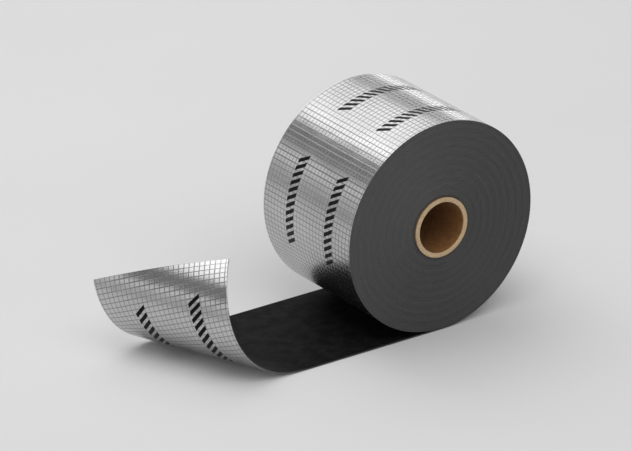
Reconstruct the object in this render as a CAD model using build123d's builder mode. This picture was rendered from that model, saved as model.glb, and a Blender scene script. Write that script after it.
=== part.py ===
import math
import os

from build123d import *

# Frame: origin on the roll's axis at mid-width, Y along the axis, tail towards -X, +Z up

# Strip, as bought
strip_width = 150.0
strip_thickness = 1.5
roll_diameter = 230.0

# Cardboard tube the strip is wound on
tube_bore = 55.0
tube_wall = 5.0
tube_length = 155.0
tube_edge_chamfer = 0.6
winding_clearance = 0.2

# Fine lines that the turns leave on both ends of the roll, one to every few turns
turns_to_a_line = 9
turn_line_width = 1.0
turn_line_inner_margin = 5.0
turn_line_outer_margin = 4.0

# Smallest gap left open where the free end parts from the roll
nip_gap = 0.2

# Free end of the strip: it lies flat, then curls up about a line that is not square to its edges
tail_length = 357.8
fold_distance = 176.0
fold_angle = 22.6
curl_start_radius = 250.0
curl_tight_radius = 52.8
curl_tight_distance = 95.0

# Number of points that carry the curled surface, along and across the strip
curl_points_along = 41
curl_points_across = 13
curl_integration_steps = 400
curl_fit_tolerance = 1e-5
curl_min_degree = 3
curl_max_degree = 8

roll_radius = roll_diameter / 2
floor_z = -roll_radius
tube_radius = tube_bore / 2 + tube_wall
wound_bore_radius = tube_radius + winding_clearance
fold_cos = math.cos(math.radians(fold_angle))
fold_sin = math.sin(math.radians(fold_angle))


def fold_run(across):
    """Distance from the roll's lowest line to the fold, at a place across the strip."""
    return (fold_distance + across * fold_sin) / fold_cos


def curl_curvature(distance):
    """Curvature of the strip at a distance past the fold, tightest at curl_tight_distance."""
    tight = 1 / curl_tight_radius
    start = 1 / curl_start_radius
    offset = (distance - curl_tight_distance) / curl_tight_distance
    return tight - (tight - start) * offset**2


def curl_profile(distance):
    """Forward run and rise of the strip's underside at a distance past the fold."""
    step = distance / curl_integration_steps
    angle = 0.0
    run = 0.0
    rise = 0.0
    for i in range(curl_integration_steps):
        middle_angle = angle + curl_curvature((i + 0.25) * step) * step / 2
        run += math.cos(middle_angle) * step
        rise += math.sin(middle_angle) * step
        angle += curl_curvature((i + 0.5) * step) * step
    return run, rise


def curl_point(along, across):
    """Place in the frame of a point on the underside of the strip, past the fold."""
    past_fold = along * fold_cos - across * fold_sin - fold_distance
    on_fold = along * fold_sin + across * fold_cos
    run, rise = curl_profile(past_fold)
    forward = (fold_distance + run) * fold_cos + on_fold * fold_sin
    sideways = on_fold * fold_cos - (fold_distance + run) * fold_sin
    return (-forward, sideways, floor_z + rise)


def curl_grid():
    """Rows of points over the curled end, from the fold to the cut end."""
    rows = []
    for i in range(curl_points_across):
        across = strip_width * (i / (curl_points_across - 1) - 0.5)
        start = fold_run(across)
        row = []
        for j in range(curl_points_along):
            along = start + (tail_length - start) * j / (curl_points_along - 1)
            row.append(curl_point(along, across))
        rows.append(row)
    return rows


curl_underside = Face.make_surface_from_array_of_points(
    curl_grid(), tol=curl_fit_tolerance, min_deg=curl_min_degree, max_deg=curl_max_degree
)
fold_plane = Plane(
    origin=(-fold_distance * fold_cos, -fold_distance * fold_sin, 0),
    x_dir=(0, 0, 1),
    z_dir=(-fold_cos, -fold_sin, 0),
)

# The half of the roll over the tail has one turn less at its foot, so its arc is smaller and sits higher
tail_top_z = floor_z + strip_thickness
inner_half_radius = roll_radius - strip_thickness / 2
inner_half_centre_z = strip_thickness / 2
nip_angle = math.degrees(math.acos(1 - nip_gap / inner_half_radius))
flat_run = fold_run(strip_width / 2) + strip_thickness

# Where the lines of the turns run
line_pitch = turns_to_a_line * strip_thickness
first_line_radius = wound_bore_radius + turn_line_inner_margin
line_span = roll_radius - turn_line_outer_margin - first_line_radius
line_count = int(line_span / line_pitch) + 1
line_square = turn_line_width / math.sqrt(2)

with BuildPart() as membrane_strip:
    # Round of the roll and the flat run of its tail, as one outline across the roll
    with BuildSketch(Plane.XZ):
        with BuildLine():
            CenterArc((0, 0), roll_radius, -90, 180)
            over_tail = CenterArc((0, inner_half_centre_z), inner_half_radius, 90, 180 - nip_angle)
            nip = over_tail @ 1
            Polyline(
                nip,
                (nip.X, tail_top_z),
                (-flat_run, tail_top_z),
                (-flat_run, floor_z),
                (0, floor_z),
            )
        make_face()
    extrude(amount=strip_width / 2, both=True)
    split(bisect_by=fold_plane, keep=Keep.BOTTOM)

    # Curled end of the tail
    thicken(curl_underside, amount=strip_thickness)

    # Hole for the tube
    with BuildSketch(Plane.XZ):
        Circle(wound_bore_radius)
    extrude(amount=strip_width, both=True, mode=Mode.SUBTRACT)

    # Lines of the turns on both ends, each a V as wide as it is at the surface
    with BuildSketch(Plane.XY):
        for side in (-1, 1):
            for i in range(line_count):
                with Locations((first_line_radius + i * line_pitch, side * strip_width / 2)):
                    Rectangle(line_square, line_square, rotation=45)
    revolve(axis=Axis.Y, mode=Mode.SUBTRACT)

with BuildPart() as core_tube:
    with BuildSketch(Plane.XZ):
        Circle(tube_radius)
        Circle(tube_bore / 2, mode=Mode.SUBTRACT)
    extrude(amount=tube_length / 2, both=True)
    chamfer(core_tube.edges().filter_by(GeomType.CIRCLE), length=tube_edge_chamfer)

membrane_strip.part.label = "membrane_strip"
core_tube.part.label = "core_tube"

os.makedirs("parts", exist_ok=True)
export_step(membrane_strip.part, "parts/membrane_strip.step")
export_step(core_tube.part, "parts/core_tube.step")
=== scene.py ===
import math

import bpy
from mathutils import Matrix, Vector


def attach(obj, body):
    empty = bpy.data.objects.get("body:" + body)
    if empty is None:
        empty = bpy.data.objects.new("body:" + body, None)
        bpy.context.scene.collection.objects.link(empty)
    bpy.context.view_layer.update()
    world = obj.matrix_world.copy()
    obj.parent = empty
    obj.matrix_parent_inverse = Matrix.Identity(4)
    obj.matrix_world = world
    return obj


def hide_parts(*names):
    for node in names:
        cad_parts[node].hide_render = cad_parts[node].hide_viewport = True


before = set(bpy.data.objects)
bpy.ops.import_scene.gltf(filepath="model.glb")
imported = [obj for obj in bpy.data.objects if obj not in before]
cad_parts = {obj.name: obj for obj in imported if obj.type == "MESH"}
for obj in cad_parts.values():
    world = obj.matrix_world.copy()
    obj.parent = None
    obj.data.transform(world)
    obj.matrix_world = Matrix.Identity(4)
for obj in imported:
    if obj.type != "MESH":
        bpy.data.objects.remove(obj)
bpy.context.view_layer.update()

# Sizes of the roll, in metres, as the CAD part has them
STRIP_WIDTH = 0.150
STRIP_THICKNESS = 0.0015
ROLL_RADIUS = 0.115
WOUND_BORE_RADIUS = 0.0327
TUBE_RADIUS = 0.0325
TUBE_BORE_RADIUS = 0.0275
TUBE_LENGTH = 0.155

# Free end: flat, then curled up about a fold line that is not square to its edges
TAIL_LENGTH = 0.3578
FOLD_DISTANCE = 0.176
FOLD_ANGLE = math.radians(22.6)
CURL_START_RADIUS = 0.250
CURL_TIGHT_RADIUS = 0.0528
CURL_TIGHT_DISTANCE = 0.095

# The curl is worked out once, at even steps from the fold line that reach past the cut end
CURL_STEP = 0.0005
CURL_STEPS = 500

# Turns wound on the tube, and how finely they and the free end are drawn
TURNS = 55
STEPS_PER_TURN = 144
TAIL_STEPS = 150
ACROSS_STEPS = 36

# The two ends of the roll and edges of the strip, by the sign of Y
NEAR, FAR = -1, 1

# The strip's edge is softly rounded: four lines run along it, at these shares of the thickness,
# and the first and the last of them are drawn in by a small depth
FOIL_LINE, OUTER_LINE, INNER_LINE, BLACK_LINE = range(4)
EDGE_LEVELS = (0.0, 0.14, 0.86, 1.0)
EDGE_DEPTH = 0.00022

# Waves that the edge wanders by: height, rate by the angle wound, and start
EDGE_WAVES = ((0.00007, 0.171, 0.6), (0.00006, 0.437, 1.9), (0.00004, 1.313, 0.3))

# The tube's rims are softly rounded, with one more corner at a share of that softness
RIM_SOFTNESS = 0.0007
RIM_CORNER = 0.3
TUBE_STEPS = 128
TUBE_BORE_STEPS = 24
TUBE_OUTSIDE_STEPS = 4

# Smooth shading stops at edges that are sharper than this
SHARP_ANGLE = math.radians(28)

# Map of the whole strip for baked pictures, in pixels: the foil as three upright stretches, the black
# side and the bore lying under them, the two ends of the roll at the right with a row to a turn, and the
# edges of the free end along the top
MAP_PIXELS = 1024
MAP_GAP = 6
MAP_SCALE = 1850.0
MAP_ROW = 9
MAP_TURN_WIDTH = 160
MAP_BORE_SCALE = 800.0

HALF_WIDTH = STRIP_WIDTH / 2
FLOOR_Z = -ROLL_RADIUS
TURN_PITCH = (ROLL_RADIUS - WOUND_BORE_RADIUS) / TURNS
FOLD_COS = math.cos(FOLD_ANGLE)
FOLD_SIN = math.sin(FOLD_ANGLE)
FULL_TURN = 2 * math.pi


def lerp(a, b, share):
    return a + (b - a) * share


# Shape of the strip


def curl_curvature(distance):
    """Curvature at a distance past the fold line, as in the CAD part."""
    tight = 1 / CURL_TIGHT_RADIUS
    start = 1 / CURL_START_RADIUS
    offset = (distance - CURL_TIGHT_DISTANCE) / CURL_TIGHT_DISTANCE
    return tight - (tight - start) * offset**2


def curl_table(step, count):
    """Run, rise and slope of the curl at even steps past the fold line."""
    rows = [(0.0, 0.0, 0.0)]
    run = rise = slope = 0.0
    for i in range(count):
        middle = slope + curl_curvature((i + 0.25) * step) * step / 2
        run += math.cos(middle) * step
        rise += math.sin(middle) * step
        slope += curl_curvature((i + 0.5) * step) * step
        rows.append((run, rise, slope))
    return rows


CURL_ROWS = curl_table(CURL_STEP, CURL_STEPS)


def curl_at(distance):
    """Run, rise and slope of the curl at any distance past the fold line."""
    place = distance / CURL_STEP
    i = int(place)
    share = place - i
    return [lerp(a, b, share) for a, b in zip(CURL_ROWS[i], CURL_ROWS[i + 1])]


def tail_point(along, across, depth):
    """Point of the free end: along it, across it, and up from its foil side by a depth."""
    past_fold = along * FOLD_COS - across * FOLD_SIN - FOLD_DISTANCE
    if past_fold <= 0:
        return Vector((-along, across, FLOOR_Z + depth))
    on_fold = along * FOLD_SIN + across * FOLD_COS
    run, rise, slope = curl_at(past_fold)
    run -= math.sin(slope) * depth
    rise += math.cos(slope) * depth
    forward = (FOLD_DISTANCE + run) * FOLD_COS + on_fold * FOLD_SIN
    sideways = on_fold * FOLD_COS - (FOLD_DISTANCE + run) * FOLD_SIN
    return Vector((-forward, sideways, FLOOR_Z + rise))


def end_stop(line):
    """Where one of the edge's lines runs along the cut end."""
    return TAIL_LENGTH - EDGE_DEPTH if line in (FOIL_LINE, BLACK_LINE) else TAIL_LENGTH


def spiral_radius(turned):
    """Radius of the foil side after an angle from the roll's lowest line, in radians."""
    return ROLL_RADIUS - TURN_PITCH * turned / FULL_TURN


def wound_point(turned, across, depth):
    """Point of the wound strip: the angle wound, across it, and in from its foil side by a depth."""
    radius = max(spiral_radius(turned) - depth, WOUND_BORE_RADIUS)
    return Vector((radius * math.sin(turned), across, -radius * math.cos(turned)))


def wound_length(turned):
    """Length of strip wound up to an angle."""
    return turned * (ROLL_RADIUS + spiral_radius(turned)) / 2


def edge_reach(line, turned):
    """How far from mid-width one of the edge's lines lies, because no roll is wound quite true."""
    if line in (FOIL_LINE, BLACK_LINE):
        return HALF_WIDTH - EDGE_DEPTH
    wander = sum(height * math.sin(rate * turned + start) for height, rate, start in EDGE_WAVES)
    return HALF_WIDTH + wander


def edge_depths(line):
    """Depths in the strip, from its foil side, of one of the edge's lines and of the next one."""
    return [level * STRIP_THICKNESS for level in EDGE_LEVELS[line : line + 2]]


# Meshes


class Patch:
    """Rectangle of the map that a stretch of the strip lies on, from the stretch's first corner on."""

    def __init__(self, left, bottom, along, across, along_scale, across_scale, upright=False):
        self.corner = (left, bottom)
        self.first = (along, across)
        self.scales = (along_scale, across_scale)
        self.upright = upright

    def spot(self, along, across):
        """Place on the map, from 0 to 1 each way, of a place on the strip."""
        steps = [
            (place - first) * scale
            for place, first, scale in zip((along, across), self.first, self.scales)
        ]
        if self.upright:
            steps.reverse()
        return [(corner + step) / MAP_PIXELS for corner, step in zip(self.corner, steps)]


class Builder:
    """Collects vertices and faces. Each face has a material, places on the strip and spots on the map."""

    def __init__(self):
        self.points = []
        self.faces = []
        self.slots = []
        self.places = []
        self.spots = []

    def add(self, point):
        self.points.append(point)
        return len(self.points) - 1

    def face(self, corners, slot):
        """Adds a face, or a triangle where two of its corners are one vertex."""
        kept = {vertex: (place, spot) for vertex, place, spot in corners}
        if len(kept) > 2:
            places, spots = zip(*kept.values())
            self.faces.append(list(kept))
            self.slots.append(slot)
            self.places.append(places)
            self.spots.append(spots)

    def band(self, low, high, along, across, slot, flip, patch=None, on_map=None):
        """Faces between two lines of vertices, each at its place across, or at another on the map."""
        on_map = on_map or across
        for i in range(len(low) - 1):
            corners = []
            for line, side, stop in ((low, 0, i), (low, 0, i + 1), (high, 1, i + 1), (high, 1, i)):
                spot = patch.spot(along[stop], on_map[side]) if patch else None
                corners.append((line[stop], (along[stop], across[side]), spot))
            if flip:
                corners.reverse()
            self.face(corners, slot)

    def surface(self, rows, along, across, slot, patch):
        """Faces between rows of vertices, each row at its own length along the strip."""
        for j in range(len(across) - 1):
            low = [row[j] for row in rows]
            high = [row[j + 1] for row in rows]
            self.band(low, high, along, across[j : j + 2], slot, True, patch)

    def lay(self, mesh, name, faces):
        """Adds a UV map, from the places of each face's corners."""
        layer = mesh.uv_layers.new(name=name)
        for polygon, places in zip(mesh.polygons, faces):
            for corner, place in zip(polygon.loop_indices, places):
                layer.data[corner].uv = place

    def piece(self, name, materials):
        """Makes the object, with a map for baked pictures where its faces have spots on one."""
        mesh = bpy.data.meshes.new(name)
        mesh.from_pydata(self.points, [], self.faces)
        for material in materials:
            mesh.materials.append(material)
        for polygon, slot in zip(mesh.polygons, self.slots):
            polygon.material_index = slot
            polygon.use_smooth = True
        self.lay(mesh, "strip", self.places)
        if self.spots[0][0]:
            self.lay(mesh, "OFBake", self.spots)
        mesh.update()
        mark_sharp(mesh)
        piece = bpy.data.objects.new(name, mesh)
        bpy.context.scene.collection.objects.link(piece)
        return piece


def mark_sharp(mesh):
    """Marks the edges at which smooth shading stops."""
    normals = {}
    for polygon in mesh.polygons:
        for key in polygon.edge_keys:
            normals.setdefault(key, []).append(polygon.normal.copy())
    limit = math.cos(SHARP_ANGLE)
    for edge in mesh.edges:
        first, second = normals[edge.key]
        edge.use_edge_sharp = first.dot(second) < limit


# Membrane

# Its materials, by their place in the mesh's list
FOIL, BLACK, CUT = range(3)

# Rows of the map for the edges of the free end, from the top down
CUT_END_ROW, NEAR_EDGE_ROW, FAR_EDGE_ROW = range(3)


def foil_patch(column, start):
    """One of the upright stretches of foil, which run from a place on towards the roll's inside."""
    wide = STRIP_WIDTH * MAP_SCALE + MAP_GAP
    return Patch(MAP_GAP + column * wide, MAP_GAP + wide, start, -HALF_WIDTH, -MAP_SCALE, MAP_SCALE, True)


def turn_patch(side, turn, along):
    """Row for one turn's edge: from the bottom up the near end's turns, then the far end's."""
    left = MAP_PIXELS - MAP_GAP - MAP_TURN_WIDTH
    row = turn if side == NEAR else TURNS + turn
    gap = MAP_GAP if side == NEAR else 2 * MAP_GAP
    scale = MAP_TURN_WIDTH / (along[-1] - along[0])
    return Patch(left, gap + row * MAP_ROW, along[0], 0.0, scale, MAP_ROW / STRIP_THICKNESS)


def border_patch(row, start):
    """Row for one of the free end's edges, from a place on."""
    bottom = MAP_PIXELS - (row + 1) * (MAP_ROW + MAP_GAP)
    return Patch(MAP_GAP, bottom, start, 0.0, MAP_SCALE, MAP_ROW / STRIP_THICKNESS)


def spiral_edge(builder, side, turned):
    """The four lines of vertices along one edge of the wound strip."""
    last = len(turned) - 1

    def vertex(line, t, depth):
        return builder.add(wound_point(t, side * edge_reach(line, t), depth))

    foil = [vertex(FOIL_LINE, t, 0.0) for t in turned]
    # A turn's black side lies on the foil side of the turn under it, and the last turn's on the tube
    under_last = turned[last - STEPS_PER_TURN + 1 : last]
    black = foil[STEPS_PER_TURN:]
    black += [vertex(BLACK_LINE, t, STRIP_THICKNESS) for t in under_last]
    black.append(foil[last])
    lines = [foil, [], [], black]
    for line in (OUTER_LINE, INNER_LINE):
        for t in turned[:last]:
            thickness = min(TURN_PITCH, spiral_radius(t) - WOUND_BORE_RADIUS)
            lines[line].append(vertex(line, t, EDGE_LEVELS[line] * thickness))
    # The strip's inner end tapers out, so both lines meet there
    tip = vertex(OUTER_LINE, turned[last], 0.0)
    lines[OUTER_LINE].append(tip)
    lines[INNER_LINE].append(tip)
    return lines


def tail_edge(builder, side, stops, spiral):
    """The four lines of vertices along one edge of the free end, carried on from the wound strip's."""
    lines = []
    for line, level in enumerate(EDGE_LEVELS):
        vertices = [spiral[line][0]]
        for stop in stops:
            along = min(stop, end_stop(line))
            across = side * edge_reach(line, -stop / ROLL_RADIUS)
            vertices.append(builder.add(tail_point(along, across, level * STRIP_THICKNESS)))
        lines.append(vertices)
    return lines


class Strip:
    """The strip's edges and rows of vertices, and the ways to lay faces between them."""

    def __init__(self):
        self.builder = Builder()
        self.turned = [FULL_TURN * i / STEPS_PER_TURN for i in range(STEPS_PER_TURN * TURNS + 1)]
        self.turn_places = [-wound_length(t) for t in self.turned]
        self.stops = [TAIL_LENGTH * i / TAIL_STEPS for i in range(1, TAIL_STEPS + 1)]
        self.tail_places = [0.0] + self.stops
        self.across = [HALF_WIDTH * (2 * j / ACROSS_STEPS - 1) for j in range(ACROSS_STEPS + 1)]
        self.spirals = {side: spiral_edge(self.builder, side, self.turned) for side in (NEAR, FAR)}
        self.tails = {}
        for side in (NEAR, FAR):
            self.tails[side] = tail_edge(self.builder, side, self.stops, self.spirals[side])
        self.turn_rows = [self.turn_row(i) for i in range(STEPS_PER_TURN + 1)]

    def row(self, edges, line, i, point_of):
        """Row of vertices across the strip, between its two edges."""
        inside = [self.builder.add(point_of(y)) for y in self.across[1:-1]]
        return [edges[NEAR][line][i]] + inside + [edges[FAR][line][i]]

    def turn_row(self, i):
        """Row on the foil side of the outermost turn."""
        return self.row(self.spirals, FOIL_LINE, i, lambda y: wound_point(self.turned[i], y, 0.0))

    def tail_row(self, line, i):
        """Row of the free end, at the depth of one of the edge's lines."""
        along = min(self.stops[i], end_stop(line))
        depth = EDGE_LEVELS[line] * STRIP_THICKNESS
        return self.row(self.tails, line, i + 1, lambda y: tail_point(along, y, depth))

    def foil_side(self):
        """Foil from the cut end to the end of the outermost turn. Returns its first row."""
        rows = [self.tail_row(FOIL_LINE, i) for i in reversed(range(TAIL_STEPS))] + self.turn_rows
        places = self.stops[::-1] + self.turn_places[: STEPS_PER_TURN + 1]
        cuts = (0, TAIL_STEPS, TAIL_STEPS + STEPS_PER_TURN // 2, TAIL_STEPS + STEPS_PER_TURN)
        for column, (first, last) in enumerate(zip(cuts, cuts[1:])):
            stretch = slice(first, last + 1)
            patch = foil_patch(column, places[first])
            self.builder.surface(rows[stretch], places[stretch], self.across, FOIL, patch)
        return rows[0]

    def black_side(self):
        """Black side of the free end, from the roll to the cut end. Returns its last row."""
        rows = [self.turn_rows[-1]] + [self.tail_row(BLACK_LINE, i) for i in range(TAIL_STEPS)]
        patch = Patch(MAP_GAP, MAP_GAP, 0.0, -HALF_WIDTH, MAP_SCALE, MAP_SCALE)
        self.builder.surface(rows, self.tail_places, self.across, BLACK, patch)
        return rows[-1]

    def cut_end(self, rows, line):
        """Cut end between one of its rows and the next, in the same rounded section as the edges."""
        patch = border_patch(CUT_END_ROW, -HALF_WIDTH)
        self.builder.band(rows[line], rows[line + 1], self.across, edge_depths(line), CUT, True, patch)

    def turn_edges(self, side, line):
        """Edges of all the turns on one end of the roll, between one of the edge's lines and the next."""
        low = self.spirals[side][line]
        high = self.spirals[side][line + 1]
        for turn in range(TURNS):
            steps = slice(turn * STEPS_PER_TURN, (turn + 1) * STEPS_PER_TURN + 1)
            places = self.turn_places[steps]
            patch = turn_patch(side, turn, places)
            self.builder.band(low[steps], high[steps], places, edge_depths(line), CUT, side == FAR, patch)

    def tail_edges(self, side, line):
        """Edge of the free end, between one of its lines and the next. Its outer corner shows foil."""
        low = self.tails[side][line]
        high = self.tails[side][line + 1]
        depths = edge_depths(line)
        slot, across = (FOIL, [side * HALF_WIDTH] * 2) if line == FOIL_LINE else (CUT, depths)
        patch = border_patch(NEAR_EDGE_ROW if side == NEAR else FAR_EDGE_ROW, 0.0)
        self.builder.band(low, high, self.tail_places, across, slot, side == NEAR, patch, depths)

    def bore(self):
        """Inside of the innermost turn, which the tube fills."""
        steps = slice(-STEPS_PER_TURN - 1, None)
        low = self.spirals[NEAR][BLACK_LINE][steps]
        high = self.spirals[FAR][BLACK_LINE][steps]
        places = self.turn_places[steps]
        left = 2 * MAP_GAP + TAIL_LENGTH * MAP_SCALE
        patch = Patch(left, MAP_GAP, places[0], -HALF_WIDTH, -MAP_BORE_SCALE, MAP_BORE_SCALE)
        self.builder.band(low, high, places, (-HALF_WIDTH, HALF_WIDTH), BLACK, False, patch)


def membrane(materials):
    """The whole strip as one closed mesh: the outermost turn, the free end and every turn's edges."""
    strip = Strip()
    foil_end = strip.foil_side()
    black_end = strip.black_side()
    between = [strip.tail_row(line, TAIL_STEPS - 1) for line in (OUTER_LINE, INNER_LINE)]
    end_rows = [foil_end] + between + [black_end]
    # Every edge is closed by a band between each of its lines and the next
    for line in range(BLACK_LINE):
        strip.cut_end(end_rows, line)
        for side in (NEAR, FAR):
            strip.turn_edges(side, line)
            strip.tail_edges(side, line)
    strip.bore()
    return strip.builder.piece("membrane", materials)


# Tube


def tube_profile():
    """Closed outline of the tube's wall, as radius and place along the axis."""
    half = TUBE_LENGTH / 2
    soft = RIM_SOFTNESS
    rim = [
        (TUBE_RADIUS, half - soft),
        (TUBE_RADIUS - RIM_CORNER * soft, half - RIM_CORNER * soft),
        (TUBE_RADIUS - soft, half),
        (TUBE_BORE_RADIUS + soft, half),
        (TUBE_BORE_RADIUS + RIM_CORNER * soft, half - RIM_CORNER * soft),
        (TUBE_BORE_RADIUS, half - soft),
    ]
    other_rim = [(radius, -y) for radius, y in reversed(rim)]
    bore_shares = [i / TUBE_BORE_STEPS for i in range(1, TUBE_BORE_STEPS)]
    bore = [(TUBE_BORE_RADIUS, lerp(half - soft, soft - half, share)) for share in bore_shares]
    outside_shares = [i / TUBE_OUTSIDE_STEPS for i in range(1, TUBE_OUTSIDE_STEPS)]
    outside = [(TUBE_RADIUS, lerp(soft - half, half - soft, share)) for share in outside_shares]
    return rim + bore + other_rim + outside


def core_tube(material):
    """The cardboard tube, turned from its profile."""
    builder = Builder()
    profile = tube_profile()
    rings = []
    for i in range(TUBE_STEPS):
        angle = FULL_TURN * i / TUBE_STEPS
        points = [Vector((r * math.sin(angle), y, -r * math.cos(angle))) for r, y in profile]
        rings.append([builder.add(point) for point in points])
    for ring, next_ring in zip(rings, rings[1:] + rings[:1]):
        low = ring + ring[:1]
        high = next_ring + next_ring[:1]
        builder.band(low, high, [0.0] * len(low), (0.0, 0.0), 0, False)
    return builder.piece("core_tube_board", [material])


# Materials

# Woven scrim that shows through the foil, its threads along the strip a little fainter
SCRIM_PITCH = 0.0056
SCRIM_HALF_WIDTH = 0.0008
LENGTHWISE_THREADS = 0.85

# Printed marks: runs of plain slanted bars in two rows along the strip
MARK_ROWS = (-0.0373, 0.0290)
MARK_HALF_HEIGHT = 0.0068
MARK_SLANT = 0.6
MARK_PERIOD = 0.158
MARK_START = 0.066
MARK_RUN = 0.098
MARK_PITCH = 0.0082
MARK_BAR = 0.0047

# The modulo needs places over zero, so whole periods are added that reach past the outermost turn
MARK_LEAD = 10 * MARK_PERIOD - MARK_START

# Layers of the cardboard that show on its rims, and the spiral seam in its bore
LAYER_PITCH = 0.001
LAYER_HALF_WIDTH = 0.0003
SEAM_PITCH = 0.085
SEAM_HALF_WIDTH = 0.0007

# Distances from the tube's end between which the rim's look gives way to the bore's
RIM_LOOK_ENDS = 0.0012
RIM_LOOK_FULL = 0.0004

# Colours of the cardboard
BORE_DARK = (0.19, 0.081, 0.021, 1.0)
BORE_PALE = (0.27, 0.126, 0.038, 1.0)
SEAM_BROWN = (0.07, 0.028, 0.010, 1.0)
RIM_DARK = (0.53, 0.385, 0.22, 1.0)
RIM_PALE = (0.66, 0.495, 0.31, 1.0)
LAYER_BROWN = (0.26, 0.17, 0.10, 1.0)
STAIN_BROWN = (0.16, 0.08, 0.030, 1.0)


class Nodes:
    """Short ways to add shader nodes."""

    def __init__(self, name):
        self.material = bpy.data.materials.new(name)
        self.material.use_nodes = True
        self.tree = self.material.node_tree
        self.shader = self.tree.nodes["Principled BSDF"]

    def feed(self, socket, value):
        """Links a socket, or sets it to a constant."""
        if isinstance(value, bpy.types.NodeSocket):
            self.tree.links.new(value, socket)
        else:
            socket.default_value = value

    def set(self, name, value):
        self.feed(self.shader.inputs[name], value)

    def math(self, operation, a, b=None):
        node = self.tree.nodes.new("ShaderNodeMath")
        node.operation = operation
        self.feed(node.inputs[0], a)
        if b is not None:
            self.feed(node.inputs[1], b)
        return node.outputs[0]

    def smooth(self, value, low, high, out_low=0.0, out_high=1.0):
        """Goes smoothly from one level to another as a value goes from low to high."""
        node = self.tree.nodes.new("ShaderNodeMapRange")
        node.interpolation_type = "SMOOTHSTEP"
        settings = (value, low, high, out_low, out_high)
        for socket, setting in zip(node.inputs, settings):
            self.feed(socket, setting)
        return node.outputs["Result"]

    def ridge(self, away, half_width):
        """1 where a distance is zero, falling smoothly to 0 at half a width."""
        return self.smooth(away, 0.0, half_width, out_low=1.0, out_high=0.0)

    def strip_places(self):
        node = self.tree.nodes.new("ShaderNodeUVMap")
        node.uv_map = "strip"
        return node.outputs["UV"]

    def object_places(self):
        return self.tree.nodes.new("ShaderNodeTexCoord").outputs["Object"]

    def split(self, vector):
        node = self.tree.nodes.new("ShaderNodeSeparateXYZ")
        self.feed(node.inputs[0], vector)
        return node.outputs["X"], node.outputs["Y"], node.outputs["Z"]

    def stretch(self, vector, scale):
        node = self.tree.nodes.new("ShaderNodeVectorMath")
        node.operation = "MULTIPLY"
        self.feed(node.inputs[0], vector)
        node.inputs[1].default_value = scale
        return node.outputs["Vector"]

    def noise(self, vector, scale, detail=3.0, roughness=0.55):
        node = self.tree.nodes.new("ShaderNodeTexNoise")
        self.feed(node.inputs["Vector"], vector)
        node.inputs["Scale"].default_value = scale
        node.inputs["Detail"].default_value = detail
        node.inputs["Roughness"].default_value = roughness
        return node.outputs["Fac"]

    def mix(self, share, a, b):
        """Colour a where the share is 0, and b where it is 1."""
        node = self.tree.nodes.new("ShaderNodeMix")
        node.data_type = "RGBA"
        self.feed(node.inputs["Factor"], share)
        self.feed(node.inputs["A"], a)
        self.feed(node.inputs["B"], b)
        return node.outputs["Result"]

    def bump(self, height, depth, under=None):
        """Bump of a height times a depth in metres, over any bump under it."""
        node = self.tree.nodes.new("ShaderNodeBump")
        node.inputs["Distance"].default_value = depth
        self.feed(node.inputs["Height"], height)
        if under is not None:
            self.feed(node.inputs["Normal"], under)
        return node.outputs["Normal"]


def grey(value):
    return (value, value, value, 1.0)


def thread_lines(nodes, place):
    """1 on the middle of each thread of one direction, 0 between them."""
    away = nodes.math("PINGPONG", place, SCRIM_PITCH / 2)
    return nodes.ridge(away, SCRIM_HALF_WIDTH)


def printed_marks(nodes, along, across):
    """1 on the printed bars, 0 beside them."""
    marks = 0.0
    for row in MARK_ROWS:
        from_row = nodes.math("SUBTRACT", across, row)
        slanted = nodes.math("ADD", along, nodes.math("MULTIPLY", from_row, MARK_SLANT))
        led = nodes.math("ADD", slanted, MARK_LEAD)
        in_period = nodes.math("MODULO", led, MARK_PERIOD)
        in_run = nodes.math("LESS_THAN", in_period, MARK_RUN)
        in_bar = nodes.math("LESS_THAN", nodes.math("MODULO", in_period, MARK_PITCH), MARK_BAR)
        in_row = nodes.math("LESS_THAN", nodes.math("ABSOLUTE", from_row), MARK_HALF_HEIGHT)
        bars = nodes.math("MULTIPLY", nodes.math("MULTIPLY", in_run, in_bar), in_row)
        marks = nodes.math("ADD", marks, bars)
    return marks


def foil_material():
    """Foil: a sheet with dents and creases, the scrim's threads in it and the printed marks on it."""
    nodes = Nodes("foil_face")
    dim_sheet, bright_sheet, thread_shade = grey(0.51), grey(0.57), grey(0.15)
    dark_ink, pale_ink = grey(0.006), grey(0.020)
    thread_strength, thread_roughness, mark_roughness = 0.8, 0.08, 0.25
    place = nodes.strip_places()
    along, across, _ = nodes.split(place)
    lengthwise = nodes.math("MULTIPLY", thread_lines(nodes, across), LENGTHWISE_THREADS)
    threads = nodes.math("MAXIMUM", lengthwise, thread_lines(nodes, along))
    grain = nodes.noise(place, scale=1500.0)
    dents = nodes.noise(nodes.stretch(place, (1.0, 0.5, 1.0)), scale=30.0, detail=2.0)
    creases = nodes.noise(nodes.stretch(place, (1.0, 0.04, 1.0)), scale=170.0, detail=2.0)
    marks = printed_marks(nodes, along, across)

    sheet = nodes.mix(nodes.smooth(dents, low=0.3, high=0.7), dim_sheet, bright_sheet)
    sheet = nodes.mix(nodes.math("MULTIPLY", threads, thread_strength), sheet, thread_shade)
    ink = nodes.mix(grain, dark_ink, pale_ink)
    nodes.set("Base Color", nodes.mix(marks, sheet, ink))
    nodes.set("Metallic", 1.0)
    rough = nodes.smooth(grain, low=0.3, high=0.7, out_low=0.17, out_high=0.24)
    rough = nodes.math("ADD", rough, nodes.math("MULTIPLY", threads, thread_roughness))
    rough = nodes.math("ADD", rough, nodes.math("MULTIPLY", marks, mark_roughness))
    nodes.set("Roughness", rough)

    normal = nodes.bump(dents, depth=0.0005)
    normal = nodes.bump(creases, depth=0.00010, under=normal)
    normal = nodes.bump(threads, depth=0.00010, under=normal)
    nodes.set("Normal", nodes.bump(grain, depth=0.000006, under=normal))
    return nodes.material


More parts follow.
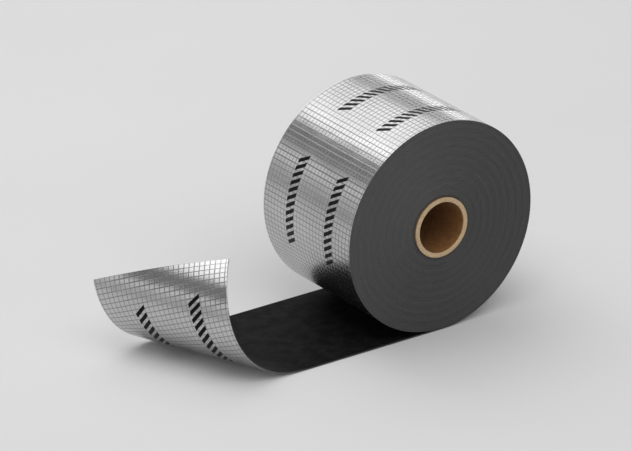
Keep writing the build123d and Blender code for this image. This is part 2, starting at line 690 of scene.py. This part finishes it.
def black_material():
    """Black side: matt and grainy, with faint streaks along the strip over a soft mottle."""
    nodes = Nodes("black_face")
    deep, faded, streak_shade = grey(0.0055), grey(0.0125), grey(0.015)
    grain_height, streak_height = 0.7, 0.3
    place = nodes.strip_places()
    grain = nodes.noise(place, scale=700.0, detail=4.0, roughness=0.65)
    streaks = nodes.noise(nodes.stretch(place, (0.12, 1.0, 1.0)), scale=120.0)
    mottle = nodes.noise(place, scale=75.0, detail=4.0, roughness=0.6)

    base = nodes.mix(nodes.smooth(mottle, low=0.35, high=0.65), deep, faded)
    nodes.set("Base Color", nodes.mix(nodes.smooth(streaks, low=0.55, high=0.8), base, streak_shade))
    nodes.set("Roughness", nodes.smooth(grain, low=0.25, high=0.75, out_low=0.55, out_high=0.70))
    nodes.set("Specular IOR Level", 0.05)
    grain_part = nodes.math("MULTIPLY", grain, grain_height)
    streak_part = nodes.math("MULTIPLY", streaks, streak_height)
    height = nodes.math("ADD", grain_part, streak_part)
    normal = nodes.bump(mottle, depth=0.0008)
    nodes.set("Normal", nodes.bump(height, depth=0.0001, under=normal))
    return nodes.material


def cut_material():
    """Cut edge of the strip: dark, with the foil as a thin pale line on its outer side."""
    nodes = Nodes("cut_edge")
    dark_body, pale_body, drag_shade, foil_shade = grey(0.030), grey(0.050), grey(0.060), grey(0.16)
    place = nodes.strip_places()
    depth = nodes.split(place)[1]
    grain = nodes.noise(nodes.object_places(), scale=600.0, detail=4.0, roughness=0.6)
    drag = nodes.noise(nodes.stretch(place, (1.0, 40.0, 1.0)), scale=60.0)

    body = nodes.mix(nodes.smooth(grain, low=0.3, high=0.7), dark_body, pale_body)
    body = nodes.mix(nodes.smooth(drag, low=0.35, high=0.75, out_high=0.5), body, drag_shade)
    foil_line = nodes.smooth(depth, low=0.00010, high=0.00022, out_low=1.0, out_high=0.0)
    nodes.set("Base Color", nodes.mix(foil_line, body, foil_shade))
    nodes.set("Roughness", nodes.smooth(grain, low=0.3, high=0.7, out_low=0.5, out_high=0.66))
    nodes.set("Normal", nodes.bump(grain, depth=0.00006))
    return nodes.material


def board_material():
    """Wound cardboard: pale layered rims, and a browner bore with a spiral seam."""
    nodes = Nodes("cardboard")
    half = TUBE_LENGTH / 2
    seam_strength, layer_strength = 0.6, 0.35
    fibre_height, layer_depth = 0.5, 0.6
    place = nodes.object_places()
    x, y, z = nodes.split(place)
    squares = nodes.math("ADD", nodes.math("MULTIPLY", x, x), nodes.math("MULTIPLY", z, z))
    radius = nodes.math("SQRT", squares)
    angle = nodes.math("ARCTAN2", x, z)
    fibres = nodes.noise(nodes.stretch(place, (1.0, 0.35, 1.0)), scale=420.0, detail=4.0, roughness=0.65)
    blotch = nodes.noise(place, scale=60.0)
    layers = nodes.ridge(nodes.math("PINGPONG", radius, LAYER_PITCH / 2), LAYER_HALF_WIDTH)
    wound_on = nodes.math("MULTIPLY", angle, SEAM_PITCH / FULL_TURN)
    from_seam = nodes.math("PINGPONG", nodes.math("ADD", y, wound_on), SEAM_PITCH / 2)
    seam = nodes.ridge(from_seam, SEAM_HALF_WIDTH)

    bore = nodes.mix(nodes.smooth(fibres, low=0.3, high=0.7), BORE_DARK, BORE_PALE)
    bore = nodes.mix(nodes.math("MULTIPLY", seam, seam_strength), bore, SEAM_BROWN)
    rim = nodes.mix(nodes.smooth(fibres, low=0.3, high=0.7), RIM_DARK, RIM_PALE)
    rim = nodes.mix(nodes.math("MULTIPLY", layers, layer_strength), rim, LAYER_BROWN)
    from_middle = nodes.math("ABSOLUTE", y)
    at_rim = nodes.smooth(from_middle, low=half - RIM_LOOK_ENDS, high=half - RIM_LOOK_FULL)
    colour = nodes.mix(at_rim, bore, rim)
    stain = nodes.smooth(blotch, low=0.45, high=0.8, out_high=0.3)
    nodes.set("Base Color", nodes.mix(stain, colour, STAIN_BROWN))
    nodes.set("Roughness", nodes.smooth(fibres, low=0.3, high=0.7, out_low=0.72, out_high=0.88))
    layer_grooves = nodes.math("MULTIPLY", nodes.math("MULTIPLY", layers, at_rim), layer_depth)
    grooves = nodes.math("ADD", seam, layer_grooves)
    height = nodes.math("SUBTRACT", nodes.math("MULTIPLY", fibres, fibre_height), grooves)
    nodes.set("Normal", nodes.bump(height, depth=0.00016))
    return nodes.material


def floor_material():
    """Plain pale floor, very faintly clouded."""
    nodes = Nodes("studio_floor")
    cloud = nodes.noise(nodes.object_places(), scale=3.0, detail=2.0)
    nodes.set("Base Color", nodes.mix(cloud, grey(0.74), grey(0.78)))
    nodes.set("Roughness", 0.75)
    nodes.set("Specular IOR Level", 0.2)
    return nodes.material


# Studio

FLOOR_HALF_SIZE = 30.0

# Brightness of the room by height, from the horizon at 0 to overhead at 1, and the way that it tilts
ROOM_LEVELS = ((0.0, 0.58), (0.23, 0.95), (0.345, 0.23), (1.0, 0.22))
ROOM_TILT = (0.16, 0.0, 1.0)

# The camera stands where the photograph's outlines put it, with a lens that fills the frame
CAMERA_PLACE = (-3.72757, -5.09280, 2.77782)
CAMERA_TARGET = (-0.0985, 0.005, -0.002)
CAMERA_LENS = 385.0
CAMERA_SENSOR = 36.0
CAMERA_REACH = 100.0


def add_floor():
    mesh = bpy.data.meshes.new("floor")
    half = FLOOR_HALF_SIZE
    corners = [(-half, -half), (half, -half), (half, half), (-half, half)]
    mesh.from_pydata([(x, y, FLOOR_Z) for x, y in corners], [], [(0, 1, 2, 3)])
    mesh.materials.append(floor_material())
    floor = bpy.data.objects.new("floor", mesh)
    bpy.context.scene.collection.objects.link(floor)


def direction(azimuth, elevation):
    """Unit vector from the object, by degrees round from +X and up."""
    a = math.radians(azimuth)
    e = math.radians(elevation)
    return Vector((math.cos(e) * math.cos(a), math.cos(e) * math.sin(a), math.sin(e)))


def aim(thing, target):
    """Turns a lamp or a camera to look at a place."""
    thing.rotation_euler = (target - thing.location).to_track_quat("-Z", "Y").to_euler()


def add_softbox(name, azimuth, elevation, distance, width, height, radiance):
    """Rectangular lamp aimed at the object, by the brightness of its face."""
    light = bpy.data.lights.new(name, "AREA")
    light.shape = "RECTANGLE"
    light.size = width
    light.size_y = height
    light.energy = radiance * math.pi * width * height
    lamp = bpy.data.objects.new(name, light)
    lamp.location = direction(azimuth, elevation) * distance
    aim(lamp, Vector((0.0, 0.0, 0.0)))
    lamp.visible_camera = False
    bpy.context.scene.collection.objects.link(lamp)


def add_softboxes():
    add_softbox(
        "softbox_back", azimuth=77.0, elevation=47.0, distance=2.2, width=2.4, height=1.30, radiance=1.28
    )
    add_softbox(
        "softbox_top", azimuth=135.0, elevation=70.0, distance=2.4, width=2.0, height=2.0, radiance=1.5
    )
    add_softbox(
        "softbox_front", azimuth=-100.0, elevation=58.0, distance=2.8, width=3.1, height=2.2, radiance=1.54
    )
    add_softbox(
        "softbox_rim", azimuth=49.0, elevation=6.0, distance=2.2, width=0.9, height=0.42, radiance=1.3
    )


def add_world():
    """Room with a pale band over the horizon, higher on the -X side, and dimmer overhead."""
    world = bpy.data.worlds.new("studio")
    world.use_nodes = True
    tree = world.node_tree
    background = tree.nodes["Background"]
    coordinates = tree.nodes.new("ShaderNodeTexCoord")
    height = tree.nodes.new("ShaderNodeVectorMath")
    height.operation = "DOT_PRODUCT"
    height.inputs[1].default_value = ROOM_TILT
    ramp = tree.nodes.new("ShaderNodeValToRGB")
    ramp.color_ramp.interpolation = "EASE"
    stops = ramp.color_ramp.elements
    while len(stops) < len(ROOM_LEVELS):
        stops.new(0.5)
    for stop, (place, level) in zip(stops, ROOM_LEVELS):
        stop.position = place
        stop.color = grey(level)
    tree.links.new(coordinates.outputs["Generated"], height.inputs[0])
    tree.links.new(height.outputs["Value"], ramp.inputs["Fac"])
    tree.links.new(ramp.outputs["Color"], background.inputs["Color"])
    bpy.context.scene.world = world


def add_camera():
    camera = bpy.data.cameras.new("camera")
    camera.sensor_width = CAMERA_SENSOR
    camera.lens = CAMERA_LENS
    camera.clip_end = CAMERA_REACH
    eye = bpy.data.objects.new("camera", camera)
    eye.location = CAMERA_PLACE
    aim(eye, Vector(CAMERA_TARGET))
    bpy.context.scene.collection.objects.link(eye)
    bpy.context.scene.camera = eye


membrane_piece = membrane([foil_material(), black_material(), cut_material()])
tube_piece = core_tube(board_material())
dressed = (
    (membrane_piece, "membrane_strip", "membrane"),
    (tube_piece, "core_tube", "tube"),
)
for piece, node, slot in dressed:
    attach(piece, "root")
    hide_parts(node)

add_floor()
add_world()
add_softboxes()
add_camera()
bpy.context.scene.view_settings.view_transform = "Standard"
